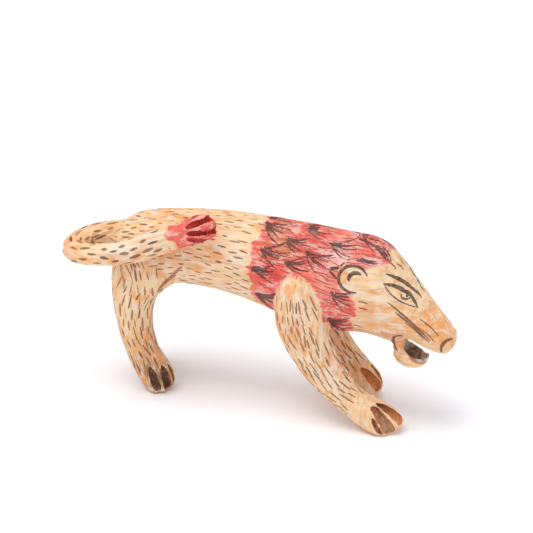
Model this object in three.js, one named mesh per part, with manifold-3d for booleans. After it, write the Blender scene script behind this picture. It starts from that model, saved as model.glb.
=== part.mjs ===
// A carved and painted wooden beast, made as the carver makes it: one log for torso, neck and head,
// and four legs, a curled tail and a lower jaw carved apart and pegged on.
// Millimetres. +X is toward the head, +Z is up, and the floor is z = 0.
import * as THREE from "three";
import { mergeVertices } from "three/addons/utils/BufferGeometryUtils.js";
import Module from "manifold-3d";

const wasm = await Module();
wasm.setup();

// ---- driving dimensions ----
const JOINT_GAP = 0.3;
const PEG_RADIUS = 2.6;
const PEG_HALF_LENGTH = 6.5;
const TAIL_PEG_RADIUS = 2.0;
const JAW_PEG_RADIUS = 1.2;
const JAW_PEG_HALF_LENGTH = 3.4;
const PEG_SIDES = 20;

const BODY_SIDES = 32;
const BODY_STEPS = 50;
const LEG_SIDES = 20;
const LEG_STEPS = 26;
const TAIL_SIDES = 16;
const TAIL_STEPS = 52;
const BALL_SIDES = 20;

const BARE_WOOD = "#e6b98a";
const PEG_WOOD = "#c79a68";
const JAW_WOOD = "#d3a884";

// Torso, neck and head, from rump to nose: x, top z, bottom z, half width.
const BODY_STATIONS = [
  [-86.0, 85.6, 73.0, 6.0],
  [-84.0, 90.8, 68.0, 11.0],
  [-78.5, 95.8, 64.0, 15.5],
  [-69.0, 99.8, 62.0, 18.5],
  [-56.0, 102.4, 61.6, 20.0],
  [-41.0, 104.2, 63.0, 20.5],
  [-26.0, 105.5, 62.4, 21.0],
  [-12.0, 105.8, 60.2, 21.0],
  [2.0, 105.6, 56.6, 21.5],
  [14.0, 105.2, 52.6, 21.5],
  [26.0, 105.0, 49.3, 21.0],
  [40.0, 104.1, 48.3, 20.0],
  [50.0, 103.7, 49.1, 19.0],
  [58.0, 103.2, 49.4, 18.3],
  [66.0, 100.4, 48.0, 17.6],
  [73.0, 93.6, 46.4, 16.8],
  [80.0, 85.0, 50.2, 15.4],
  [87.0, 76.2, 47.4, 13.4],
  [94.0, 68.2, 44.4, 11.4],
  [100.0, 61.6, 44.2, 9.2],
  [103.4, 57.8, 47.0, 6.6],
  [105.0, 55.0, 50.6, 3.0],
];

// Legs, from the joint down to the sole: z, back x, front x, centre y, half thickness in y.
const FRONT_RIGHT_LEG = [
  [86.0, 17.0, 26.5, -16.0, 5.0],
  [81.0, 14.0, 31.0, -17.5, 7.5],
  [73.0, 12.2, 35.0, -18.0, 9.0],
  [64.0, 11.4, 38.0, -18.0, 9.4],
  [55.0, 12.2, 40.8, -17.6, 9.4],
  [46.0, 15.2, 43.4, -17.0, 9.2],
  [37.0, 20.0, 47.6, -16.4, 9.0],
  [28.0, 26.0, 54.0, -15.8, 8.8],
  [20.0, 33.6, 60.4, -15.2, 9.0],
  [14.0, 40.8, 75.4, -14.8, 9.4],
  [8.0, 49.2, 82.2, -14.6, 9.6],
  [3.0, 57.4, 80.8, -14.6, 9.2],
  [0.0, 63.6, 77.2, -14.6, 7.4],
];
const FRONT_LEFT_LEG = [
  [86.0, 14.5, 23.5, 16.0, 5.0],
  [81.0, 11.5, 28.0, 17.5, 7.5],
  [73.0, 10.0, 31.5, 18.2, 9.0],
  [64.0, 9.8, 33.4, 18.2, 9.4],
  [55.0, 10.6, 35.0, 18.0, 9.4],
  [46.0, 12.6, 37.0, 17.8, 9.2],
  [37.0, 16.4, 41.0, 17.8, 9.0],
  [28.0, 22.0, 47.2, 18.0, 8.8],
  [20.0, 28.6, 54.4, 18.4, 8.8],
  [13.0, 35.4, 60.2, 18.8, 9.2],
  [8.0, 41.0, 61.6, 19.2, 9.4],
  [3.0, 46.4, 59.6, 19.4, 8.8],
  [0.0, 49.4, 56.8, 19.4, 7.0],
];
const HIND_RIGHT_LEG = [
  [90.0, -73.0, -57.0, -9.0, 6.0],
  [82.0, -80.6, -50.0, -11.5, 8.6],
  [74.0, -83.6, -45.5, -12.6, 9.6],
  [66.0, -83.9, -47.4, -13.2, 10.0],
  [58.0, -83.5, -56.6, -13.6, 10.0],
  [49.0, -82.8, -60.0, -13.8, 9.6],
  [40.0, -81.2, -60.6, -13.8, 9.2],
  [32.0, -79.4, -59.6, -13.8, 8.8],
  [24.0, -77.0, -57.2, -13.6, 8.8],
  [16.0, -74.0, -52.0, -13.2, 9.0],
  [8.0, -69.8, -48.8, -12.8, 9.0],
  [3.0, -66.8, -50.0, -12.4, 8.4],
  [0.0, -64.8, -53.2, -12.2, 6.8],
];
const HIND_LEFT_LEG = [
  [90.0, -75.0, -60.0, 9.0, 6.0],
  [82.0, -81.6, -54.0, 11.0, 8.4],
  [74.0, -85.0, -51.0, 11.6, 9.0],
  [66.0, -86.4, -54.0, 11.6, 9.2],
  [58.0, -87.4, -62.6, 11.4, 9.2],
  [49.0, -88.0, -68.8, 11.0, 8.8],
  [40.0, -88.0, -71.2, 10.6, 8.4],
  [32.0, -87.4, -72.0, 10.2, 8.2],
  [24.0, -86.2, -72.0, 9.8, 8.2],
  [16.0, -84.4, -70.4, 9.8, 8.4],
  [8.0, -82.0, -67.4, 9.8, 8.6],
  [3.0, -80.2, -66.4, 9.8, 8.0],
  [0.0, -78.6, -68.6, 9.8, 6.4],
];

// Tail, from its root in the rump round the loop to the tuft: x, y, z, half thickness, half height.
const TAIL_STATIONS = [
  [-70.0, 1.4, 88.2, 6.4, 6.4],
  [-81.0, 1.4, 86.4, 6.6, 6.8],
  [-91.0, 0.6, 83.5, 7.3, 7.0],
  [-98.8, -2.0, 81.6, 8.0, 7.0],
  [-103.6, -9.4, 79.8, 8.7, 6.8],
  [-102.6, -16.2, 79.0, 8.3, 6.5],
  [-95.8, -21.8, 80.0, 7.0, 6.2],
  [-86.0, -24.6, 81.8, 6.3, 6.2],
  [-72.0, -26.2, 85.4, 5.8, 6.6],
  [-58.0, -26.6, 91.0, 5.4, 7.6],
  [-46.0, -26.2, 96.3, 4.8, 7.2],
  [-38.0, -25.4, 99.8, 4.4, 6.8],
  [-31.0, -24.6, 103.2, 4.0, 7.6],
  [-25.0, -23.9, 105.8, 3.6, 8.0],
  [-20.8, -23.4, 107.2, 2.8, 6.4],
  [-18.8, -23.2, 107.8, 1.5, 3.4],
];

// Gouge cuts that part the tuft into fingers: a fan that spreads from the palm and dives through the tip.
const TUFT_PALM = [-45.0, 101.0];
const TUFT_CUTS = 4;
const TUFT_FIRST_ANGLE = -6.0;
const TUFT_ANGLE_STEP = 15.0;
const TUFT_INNER_REACH = 12.0;
const TUFT_OUTER_REACH = 34.0;
const TUFT_INNER_Y = -28.8;
const TUFT_OUTER_Y = -20.5;
const TUFT_GOUGE_RADIUS = 1.8;

// Gouge cuts that part the toes: upper end x, y, z, a lower place x, y, z, then the gouge's radius.
// Each cut runs on past its lower place, out of the toes, so that it is open at its end.
const GOUGE_RUNOUT = 1.4;
const FRONT_RIGHT_GOUGES = [
  [67.4, -24.0, 11.6, 72.8, -23.2, 1.6, 1.5],
  [66.4, -20.4, 17.0, 78.4, -21.0, 1.6, 2.9],
  [67.8, -16.3, 17.4, 82.6, -15.6, 7.6, 3.1],
];
const FRONT_LEFT_GOUGES = [
  [50.8, 12.4, 20.0, 61.8, 15.6, 6.6, 2.6],
  [54.0, 19.2, 19.2, 62.4, 20.8, 7.6, 2.4],
  [52.0, 25.4, 16.6, 58.4, 26.6, 4.4, 2.0],
];
const HIND_RIGHT_GOUGES = [
  [-59.6, -21.6, 17.4, -55.0, -20.8, 1.6, 2.2],
  [-53.9, -17.2, 17.6, -50.2, -16.8, 2.4, 2.4],
  [-52.4, -12.2, 17.2, -48.8, -10.6, 3.8, 2.2],
];
const HIND_LEFT_GOUGES = [
  [-73.6, 17.8, 16.6, -71.2, 17.0, 1.6, 2.0],
  [-69.8, 13.8, 16.8, -67.2, 13.4, 2.4, 2.2],
  [-69.4, 8.6, 16.4, -66.8, 7.6, 3.4, 2.0],
];
const GOUGE_SINK_SHARE = 0.72;

// Lower jaw: a ball with the open mouth cut across its top, and a scoop taken out inside.
const JAW_CENTRE = [81.6, -0.8, 42.6];
const JAW_HALF_SIZE = [10.6, 7.6, 10.2];
const MOUTH_CENTRE = [86.4, 0.0, 50.0];
const MOUTH_HALF_SIZE = [9.0, 20.0, 9.0];
const JAW_SCOOP_CENTRE = [84.2, -1.0, 42.8];
const JAW_SCOOP_HALF_SIZE = [7.0, 6.0, 6.4];

// Pegs across the glued joints: centre x, y, z and direction x, y, z.
const FRONT_RIGHT_PEG = [27.0, -14.4, 57.6, 0.0, 1.0, 1.0];
const FRONT_LEFT_PEG = [24.0, 14.4, 57.6, 0.0, -1.0, 1.0];
const HIND_RIGHT_PEG = [-67.0, -12.0, 66.4, 0.0, 0.64, 0.77];
const HIND_LEFT_PEG = [-69.0, 11.6, 66.4, 0.0, -0.64, 0.77];
const TAIL_PEG = [-85.6, 1.2, 84.6, 1.0, 0.05, 0.26];
const JAW_PEG = [75.2, 0.0, 46.4, 0.0, 0.0, 1.0];

const v3 = (x, y, z) => new THREE.Vector3(x, y, z);

// A closed manifold solid from a three.js geometry.
function solidFrom(geometry) {
  const bare = geometry.clone();
  bare.deleteAttribute("normal");
  bare.deleteAttribute("uv");
  const merged = mergeVertices(bare, 1e-4);
  const mesh = new wasm.Mesh({
    numProp: 3,
    vertProperties: merged.attributes.position.array,
    triVerts: new Uint32Array(merged.index.array),
  });
  return new wasm.Manifold(mesh);
}

// Rows of numbers resampled along a smooth curve through them, three columns at a time.
function resample(rows, steps) {
  const columns = rows[0].length;
  const resampled = Array.from({ length: steps + 1 }, () => []);
  for (let first = 0; first < columns; first += 3) {
    const points = rows.map((row) => v3(row[first], row[first + 1] ?? 0, row[first + 2] ?? 0));
    const curve = new THREE.CatmullRomCurve3(points, false, "catmullrom", 0.5);
    for (let step = 0; step <= steps; step += 1) {
      const p = curve.getPoint(step / steps);
      resampled[step].push(p.x, p.y, p.z);
    }
  }
  return resampled;
}

// One oval section: centre, two half axes given as vectors.
function ovalRing(centre, across, upward, sides) {
  const ring = [];
  for (let side = 0; side < sides; side += 1) {
    const angle = (2 * Math.PI * side) / sides;
    const point = centre.clone();
    point.addScaledVector(across, Math.cos(angle));
    point.addScaledVector(upward, Math.sin(angle));
    ring.push(point);
  }
  return ring;
}

// A solid skinned over rings of equal length, closed by a fan at each end.
function skin(rings) {
  const sides = rings[0].length;
  const points = rings.flat();
  const faces = [];
  for (let row = 0; row + 1 < rings.length; row += 1) {
    for (let side = 0; side < sides; side += 1) {
      const next = (side + 1) % sides;
      const a = row * sides + side;
      const b = row * sides + next;
      faces.push(a, b, b + sides, a, b + sides, a + sides);
    }
  }
  const lastRow = (rings.length - 1) * sides;
  const firstCentre = points.length;
  points.push(middleOf(rings[0]), middleOf(rings[rings.length - 1]));
  for (let side = 0; side < sides; side += 1) {
    const next = (side + 1) % sides;
    faces.push(firstCentre, next, side);
    faces.push(firstCentre + 1, lastRow + side, lastRow + next);
  }
  const geometry = new THREE.BufferGeometry().setFromPoints(points);
  geometry.setIndex(faces);
  const solid = solidFrom(geometry);
  return solid.volume() > 0 ? solid : solidFrom(turnedInsideOut(geometry));
}

function turnedInsideOut(geometry) {
  const turned = geometry.clone();
  turned.setIndex(Array.from(geometry.index.array).reverse());
  return turned;
}

function middleOf(points) {
  const middle = v3(0, 0, 0);
  points.forEach((point) => middle.add(point));
  return middle.divideScalar(points.length);
}

function trunkSolid(grow) {
  const rings = resample(BODY_STATIONS.map(([x, top, bottom, half]) => [
    x, (top + bottom) / 2, (top - bottom) / 2, half, 0, 0,
  ]), BODY_STEPS).map(([x, middle, halfHeight, halfWidth]) => ovalRing(
    v3(x, 0, middle),
    v3(0, halfWidth + grow, 0),
    v3(0, 0, halfHeight + grow),
    BODY_SIDES,
  ));
  return skin(rings);
}

function legSolid(stations, grow) {
  const rings = resample(stations.map(([z, back, front, y, half]) => [
    z, (back + front) / 2, (front - back) / 2, y, half, 0,
  ]), LEG_STEPS).map(([z, x, halfLength, y, halfWidth]) => ovalRing(
    v3(x, y, z),
    v3(halfLength + grow, 0, 0),
    v3(0, halfWidth + grow, 0),
    LEG_SIDES,
  ));
  return skin(rings);
}

function tubeSolid(stations, sides, steps) {
  const rows = resample(stations.map((row) => [...row, 0]), steps);
  const rings = rows.map(([x, y, z, thick, high], row) => {
    const before = rows[Math.max(row - 1, 0)];
    const after = rows[Math.min(row + 1, rows.length - 1)];
    const along = v3(after[0] - before[0], after[1] - before[1], after[2] - before[2]);
    const across = v3(0, 0, 1).cross(along).normalize();
    const upward = along.clone().cross(across).normalize();
    return ovalRing(
      v3(x, y, z),
      across.multiplyScalar(thick),
      upward.multiplyScalar(high),
      sides,
    );
  });
  return skin(rings);
}

// A round peg lying along its direction, centred on a joint; a hole for it is grown by the gap.
function pegSolid([x, y, z, alongX, alongY, alongZ], radius, halfLength, grow) {
  const length = 2 * (halfLength + grow);
  const geometry = new THREE.CylinderGeometry(radius + grow, radius + grow, length, PEG_SIDES);
  const along = v3(alongX, alongY, alongZ).normalize();
  geometry.applyQuaternion(new THREE.Quaternion().setFromUnitVectors(v3(0, 1, 0), along));
  geometry.translate(x, y, z);
  return solidFrom(geometry);
}

// A ball stretched along its own axes, with its third axis laid along a direction.
function ballSolid([x, y, z], [halfX, halfY, halfZ], along = v3(0, 0, 1)) {
  const geometry = new THREE.SphereGeometry(1, BALL_SIDES, BALL_SIDES / 2);
  geometry.rotateX(Math.PI / 2);
  geometry.scale(halfX, halfY, halfZ);
  geometry.applyQuaternion(new THREE.Quaternion().setFromUnitVectors(v3(0, 0, 1), along));
  geometry.translate(x, y, z);
  return solidFrom(geometry);
}

// The middle of a leg's section at a height.
function legMiddle(stations, z) {
  const above = stations.findLast((row) => row[0] > z);
  const below = stations.find((row) => row[0] <= z);
  const t = (z - below[0]) / (above[0] - below[0]);
  const [, back, front, y] = below.map((value, column) => value + t * (above[column] - value));
  return v3((front + back) / 2, y, z);
}

// A long narrow ball laid between two points, standing off them by a distance.
function gougeSolid(from, to, radius, standOff) {
  const along = from.clone().sub(to);
  const middle = from.clone().add(to).multiplyScalar(0.5).add(standOff);
  return ballSolid(middle.toArray(), [radius, radius, along.length() / 2], along.normalize());
}

// One leg with its toes parted, butted on the trunk with the joint gap.
function legPiece(stations, gouges) {
  let leg = legSolid(stations, 0);
  for (const [topX, topY, topZ, lowX, lowY, lowZ, radius] of gouges) {
    const top = v3(topX, topY, topZ);
    const low = top.clone().lerp(v3(lowX, lowY, lowZ), GOUGE_RUNOUT);
    const along = top.clone().sub(low).normalize();
    const middleZ = Math.max((top.z + low.z) / 2, 0);
    const outward = top.clone().add(low).multiplyScalar(0.5).sub(legMiddle(stations, middleZ));
    outward.addScaledVector(along, -outward.dot(along));
    outward.setLength(radius * (1 - GOUGE_SINK_SHARE));
    leg = leg.subtract(gougeSolid(top, low, radius, outward));
  }
  return leg.subtract(trunkSolid(JOINT_GAP));
}

// A place out from the palm of the tuft, on its near face.
function tuftPlace(angle, reach, y) {
  const [palmX, palmZ] = TUFT_PALM;
  return v3(palmX + reach * Math.cos(angle), y, palmZ + reach * Math.sin(angle));
}

function tailPiece() {
  let tail = tubeSolid(TAIL_STATIONS, TAIL_SIDES, TAIL_STEPS);
  for (let cut = 0; cut < TUFT_CUTS; cut += 1) {
    const angle = THREE.MathUtils.degToRad(TUFT_FIRST_ANGLE + cut * TUFT_ANGLE_STEP);
    const inner = tuftPlace(angle, TUFT_INNER_REACH, TUFT_INNER_Y);
    const outer = tuftPlace(angle, TUFT_OUTER_REACH, TUFT_OUTER_Y);
    tail = tail.subtract(gougeSolid(inner, outer, TUFT_GOUGE_RADIUS, v3(0, 0, 0)));
  }
  return tail
    .subtract(trunkSolid(JOINT_GAP))
    .subtract(legSolid(HIND_RIGHT_LEG, JOINT_GAP))
    .subtract(legSolid(HIND_LEFT_LEG, JOINT_GAP));
}

function lowerJawPiece() {
  return ballSolid(JAW_CENTRE, JAW_HALF_SIZE)
    .subtract(ballSolid(MOUTH_CENTRE, MOUTH_HALF_SIZE))
    .subtract(ballSolid(JAW_SCOOP_CENTRE, JAW_SCOOP_HALF_SIZE))
    .subtract(trunkSolid(JOINT_GAP));
}

const group = new THREE.Group();

function addNode(name, solid, colour) {
  const mesh = solid.getMesh();
  const geometry = new THREE.BufferGeometry();
  geometry.setAttribute("position", new THREE.BufferAttribute(mesh.vertProperties, 3));
  geometry.setIndex(new THREE.BufferAttribute(mesh.triVerts, 1));
  geometry.computeVertexNormals();
  const material = new THREE.MeshStandardMaterial({ color: colour, roughness: 0.7, metalness: 0 });
  const node = new THREE.Mesh(geometry, material);
  node.name = name;
  group.add(node);
}

// Each joined piece: name, solid, colour, peg name, peg line, peg radius, peg half length.
const JOINED_PIECES = [
  ["leg_front_right", legPiece(FRONT_RIGHT_LEG, FRONT_RIGHT_GOUGES), BARE_WOOD,
    "peg_front_right", FRONT_RIGHT_PEG, PEG_RADIUS, PEG_HALF_LENGTH],
  ["leg_front_left", legPiece(FRONT_LEFT_LEG, FRONT_LEFT_GOUGES), BARE_WOOD,
    "peg_front_left", FRONT_LEFT_PEG, PEG_RADIUS, PEG_HALF_LENGTH],
  ["leg_hind_right", legPiece(HIND_RIGHT_LEG, HIND_RIGHT_GOUGES), BARE_WOOD,
    "peg_hind_right", HIND_RIGHT_PEG, PEG_RADIUS, PEG_HALF_LENGTH],
  ["leg_hind_left", legPiece(HIND_LEFT_LEG, HIND_LEFT_GOUGES), BARE_WOOD,
    "peg_hind_left", HIND_LEFT_PEG, PEG_RADIUS, PEG_HALF_LENGTH],
  ["tail", tailPiece(), BARE_WOOD, "peg_tail", TAIL_PEG, TAIL_PEG_RADIUS, PEG_HALF_LENGTH],
  ["lower_jaw", lowerJawPiece(), JAW_WOOD, "peg_jaw", JAW_PEG, JAW_PEG_RADIUS, JAW_PEG_HALF_LENGTH],
];

let body = trunkSolid(0);
for (const [name, solid, colour, pegName, pegLine, radius, halfLength] of JOINED_PIECES) {
  const hole = pegSolid(pegLine, radius, halfLength, JOINT_GAP);
  body = body.subtract(hole);
  addNode(name, solid.subtract(hole), colour);
  addNode(pegName, pegSolid(pegLine, radius, halfLength, 0), PEG_WOOD);
}
addNode("body", body, BARE_WOOD);

// Stand the figure on the floor with its box centred over the origin.
const box = new THREE.Box3().setFromObject(group);
const middle = box.getCenter(v3(0, 0, 0));
group.position.set(-middle.x, -middle.y, -box.min.z);

export default group;
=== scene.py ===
# A carved and painted wooden beast: the CAD log, legs, tail and jaw get one knife-cut skin,
# which is painted by brush and parted again into the pieces that the carver made.
import math

import bmesh
import bpy
import numpy as np
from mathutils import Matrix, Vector
from mathutils.bvhtree import BVHTree
from mathutils.kdtree import KDTree


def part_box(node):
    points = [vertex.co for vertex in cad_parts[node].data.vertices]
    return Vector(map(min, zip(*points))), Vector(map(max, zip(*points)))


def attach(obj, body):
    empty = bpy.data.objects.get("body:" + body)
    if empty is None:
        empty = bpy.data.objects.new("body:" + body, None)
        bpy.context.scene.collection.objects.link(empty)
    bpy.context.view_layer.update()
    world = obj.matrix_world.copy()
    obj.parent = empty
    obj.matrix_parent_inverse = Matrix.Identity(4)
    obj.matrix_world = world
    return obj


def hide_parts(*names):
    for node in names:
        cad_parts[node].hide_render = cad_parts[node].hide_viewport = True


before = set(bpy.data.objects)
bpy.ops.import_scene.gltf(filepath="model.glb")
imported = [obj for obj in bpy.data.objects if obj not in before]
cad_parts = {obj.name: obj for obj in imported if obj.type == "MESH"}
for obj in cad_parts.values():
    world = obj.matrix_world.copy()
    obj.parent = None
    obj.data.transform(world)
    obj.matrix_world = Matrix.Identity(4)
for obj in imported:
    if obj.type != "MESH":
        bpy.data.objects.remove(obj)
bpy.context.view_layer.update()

# ---- driving dimensions, in metres ----
MM = 0.001
VOXEL = 0.62 * MM
JOINT_REACH = 0.7 * MM
JOINT_OVERLAP = 2.2 * MM
FILLET_REACH = 7.0 * MM
FILLET_ROUNDS = 110
SOFTEN_ROUNDS = 7
KNIFE_DEPTH = 0.60 * MM
KNIFE_WIDTH = 3.4 * MM
KNIFE_RIDGE = 1.5 * MM
GRAIN_STRETCH = 4.5
WALL_DEPTH = 1.2 * MM
BODY, TAIL, JAW = "body", "tail", "lower_jaw"
LEGS = ["leg_front_right", "leg_front_left", "leg_hind_right", "leg_hind_left"]
CARVED = [BODY, TAIL, JAW] + LEGS
CARVED_SORTED = sorted(CARVED)
SEAM_ROUNDS = 12
rng = np.random.default_rng(7)

# The tail's middle line from the root round the loop to the tuft, in millimetres.
TAIL_LINE = [
    (-66, 3, 90), (-77, 3, 88), (-87, 2, 85), (-95, 0, 82), (-100, -8, 80), (-99, -15, 79), (-92, -20, 80),
    (-82, -23, 82), (-68, -24, 85), (-54, -25, 91), (-42, -24, 96), (-28, -23, 103), (-15, -22, 110),
]


# ---- painted places ----
# Each is seen square on from the side and a little above, as x and z in millimetres,
# and is painted on both flanks.
VIEW_TILT = math.tan(math.radians(24))
EAR_CENTRE, EAR_RADIUS = (57.5, 79.0), 7.5
EYE_BACK, EYE_FRONT = (73.0, 79.0), (90.0, 68.5)
IRIS_CENTRE, IRIS_RADIUS = (84.0, 74.2), 2.1
BROW_LIFT = 5.5
WHISKER_SLOPE = -40
# Each whisker's root, length and half width.
WHISKERS = [
    ((76, 69), 28, 0.5), ((80, 64), 22, 0.6), ((85, 59), 12, 0.3), ((92, 62), 12, 0.3), ((92, 57), 10, 0.25),
]
NOSE_TOP, NOSE_LOW = (107.5, 53.5), (103, 45)
JAW_HINGE_CENTRE, JAW_HINGE_RADIUS = (82, 46), 5.0
FORELOCK_ROOT = (57, 102)
GROIN_TOP, GROIN_LOW = (-36, 71.5), (-50.5, 55)
LEFT_GROIN_SHIFT = (-7, 0)
LOCK_FIRST, LOCK_PITCH = (6.5, 104), (12.8, 14)
LOCK_COLUMNS, LOCK_ROWS = 5, 5
LOCK_SPREAD = 17
FORELOCK_HAIRS = 9
HAIR_THINNING = 0.88
LOCK_MARGIN = 1.5
SHORTEST_HAIR_ROWS = 4
MANE_EDGE = [
    (7, 112), (2, 84), (3, 62), (16, 46), (32, 42), (56, 44),
    (59, 66), (58, 79), (66, 87), (73, 90), (74, 106), (60, 114),
]
MANE_WAVES = [(0.9, 0.43), (0.6, 0.97), (0.5, 1.71), (0.3, 2.9)]
SHOULDER_CENTRE, SHOULDER_SIZE = (29, 52), (13.5, 23)

# ---- stroke tones, from dark ink through browns to crimson ----
INK, BROWN, TAIL_FUR, FUR, RUST_TONE, CRIMSON_TONE = 0.0, 0.35, 0.5, 0.7, 1.0, 1.3

# ---- hairs ----
# A piece's radius, the pitch along it, the spacing round it, the hairs' length, half width and tone.
BODY_HAIRS = (21 * MM, 5.6 * MM, 4.6 * MM, 4.2 * MM, 0.38, FUR)
LEG_HAIRS = (10 * MM, 6.4 * MM, 4.0 * MM, 6.6 * MM, 0.42, FUR)
TAIL_HAIRS = (7 * MM, 6.4 * MM, 5.6 * MM, 5.0 * MM, 0.75, TAIL_FUR)

# ---- paints, as screen colours from 0 to 255 ----
PAINTS = {
    "tan": (236, 198, 152), "cream": (246, 222, 184), "bare": (230, 214, 194), "orange": (232, 156, 92),
    "rust": (196, 112, 60), "umber": (122, 84, 60), "dark": (84, 56, 42),
    "clay": (206, 172, 142), "hollow": (112, 88, 76),
    "coral": (226, 100, 84), "pink": (240, 150, 132), "blush": (232, 192, 180), "scarlet": (228, 62, 56),
    "crimson": (184, 52, 44), "sienna": (200, 122, 82),
    "grain": (206, 148, 94), "fine grain": (176, 122, 76),
    "peg": (214, 172, 120), "peg grain": (178, 132, 84),
    "ink": (56, 38, 38), "brown ink": (104, 60, 38), "fur ink": (132, 96, 60),
    "rust ink": (160, 90, 58), "crimson ink": (160, 56, 46),
}
# Patches over the tan: x, z, reach in x, reach in z, paint, strength. Most are paint laid thicker; those
# marked below are painted shade and painted highlight.
WASHES_AND_PAINTED_LIGHT = {
    "body": [
        # The rust patch at x -50, z 78 is painted shade on the flank under the tail's near run.
        (-50, 98, 22, 7, "orange", 0.4), (-50, 78, 20, 6, "rust", 0.5), (-45, 69, 8, 6, "bare", 0.6),
        (-5, 84, 8, 12, "bare", 0.5), (-20, 62, 26, 5, "bare", 0.4), (71, 66, 6, 12, "bare", 1.0),
        (62, 57, 8, 7, "orange", 0.5), (82, 58, 9, 6, "orange", 0.7), (76, 49, 14, 5, "rust", 0.6),
        (92, 80, 8, 8, "cream", 0.6), (97, 58, 10, 9, "orange", 0.8), (53, 82, 2, 2, "bare", 0.9),
    ],
    # The two bare patches whiten the tail's near run where it faces the light above: painted highlight.
    "tail": [(-70, 75, 14, 8, "bare", 0.9), (-50, 84, 10, 8, "bare", 0.9), (-100, 74, 9, 9, "orange", 0.6)],
    "leg_hind": [
        # The umber patch at the foot and the rust patch above it darken the lower hind leg: painted shade.
        (-55, 2, 15, 12, "umber", 1.0), (-58, 22, 10, 9, "rust", 0.5), (-66, 48, 8, 14, "cream", 0.4),
    ],
    "leg_front_right": [
        (30, 54, 8, 10, "bare", 0.5), (48, 28, 12, 16, "bare", 0.6), (25, 44, 7, 9, "orange", 0.5),
    ],
    "leg_front_left": [(40, 30, 20, 24, "orange", 0.4), (56, 8, 12, 8, "rust", 0.4)],
}
MANE_PATCHES = [
    (14, 74, 8, 10, "scarlet", 0.9), (20, 90, 7, 8, "sienna", 0.9), (12, 100, 6, 8, "sienna", 0.8),
    (35, 93, 6, 7, "crimson", 0.5), (49, 90, 8, 7, "blush", 1.0), (52, 100, 8, 4, "pink", 0.8),
    (44, 72, 8, 9, "pink", 0.8), (48, 49, 12, 5, "crimson", 0.9), (68, 89, 7, 3, "blush", 0.95),
    (8, 61, 7, 7, "pink", 0.8), (28, 82, 8, 4, "pink", 0.5),
]
MOUTH_PATCHES = [(81, 46, 3, 6, "bare", 1.0), (93, 38, 4, 3, "bare", 0.8), (87, 49, 4, 2, "rust", 0.7)]

# ---- gouge cuts that part the toes and the tuft ----
# As the part's own design gives them, from the trunk's centre line. A toe cut has an upper end,
# a lower place that it runs on past, a radius, and the paint at each end.
TRUNK_NOSE = 105.0
GOUGE_RUNOUT = 1.4
TOE_GOUGES = {
    "leg_front_right": [
        ((67.4, -24.0, 11.6), (72.8, -23.2, 1.6), 1.5, "umber", "dark"),
        ((66.4, -20.4, 17.0), (78.4, -21.0, 1.6), 2.9, "rust", "clay"),
        ((67.8, -16.3, 17.4), (82.6, -15.6, 7.6), 3.1, "dark", "orange"),
    ],
    "leg_front_left": [
        ((50.8, 12.4, 20.0), (61.8, 15.6, 6.6), 2.6, "rust", "orange"),
        ((54.0, 19.2, 19.2), (62.4, 20.8, 7.6), 2.4, "orange", "clay"),
        ((52.0, 25.4, 16.6), (58.4, 26.6, 4.4), 2.0, "rust", "umber"),
    ],
    "leg_hind_right": [
        ((-59.6, -21.6, 17.4), (-55.0, -20.8, 1.6), 2.2, "umber", "dark"),
        ((-53.9, -17.2, 17.6), (-50.2, -16.8, 2.4), 2.4, "umber", "dark"),
        ((-52.4, -12.2, 17.2), (-48.8, -10.6, 3.8), 2.2, "umber", "dark"),
    ],
    "leg_hind_left": [
        ((-73.6, 17.8, 16.6), (-71.2, 17.0, 1.6), 2.0, "umber", "dark"),
        ((-69.8, 13.8, 16.8), (-67.2, 13.4, 2.4), 2.2, "umber", "dark"),
        ((-69.4, 8.6, 16.4), (-66.8, 7.6, 3.4), 2.0, "umber", "dark"),
    ],
}
# The tuft's cuts fan out from its palm, at even angles in degrees, and dive through its tip.
TUFT_PALM = (-45.0, 101.0)
TUFT_CUTS, TUFT_FIRST_ANGLE, TUFT_ANGLE_STEP = 4, -6.0, 15.0
TUFT_REACHES, TUFT_DEPTHS = (12.0, 34.0), (-28.8, -20.5)
TUFT_GOUGE_RADIUS = 1.8
# The tuft's red starts this far along the tail, and drips below a height on the side view.
TUFT_START = 109 * MM
TUFT_DRIP_LEVEL, TUFT_DRIP_REACH = 88, 6
# How much deeper than the design the cuts go, and where that depth is reached in full.
GOUGE_EXTRA, TUFT_EXTRA = 2.2 * MM, 1.2 * MM
GOUGE_FULL_DEPTH = 0.8 * MM
TUFT_MARGIN = 0.15 * MM
SCOOP_CENTRE, SCOOP_SIZE = (84.2, -1.0, 42.8), (7.0, 6.0, 6.4)


def guide_origin():
    """Where the design's own origin lies: on the trunk's centre line, a nose's length behind its tip."""
    low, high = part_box(BODY)
    return np.array((high[0] - TRUNK_NOSE * MM, (low[1] + high[1]) / 2, 0))


def linear(red, green, blue):
    """A screen colour, from 0 to 255, as light."""
    shares = [value / 255 for value in (red, green, blue)]
    return tuple(((c + 0.055) / 1.055) ** 2.4 if c > 0.04045 else c / 12.92 for c in shares)


def paint(name):
    return linear(*PAINTS[name])


# ---- the skin ----
def clean_shell(name):
    """The CAD node's shell with its doubled corners joined."""
    shell = bmesh.new()
    shell.from_mesh(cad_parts[name].data)
    bmesh.ops.remove_doubles(shell, verts=shell.verts, dist=1e-6)
    return shell


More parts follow.
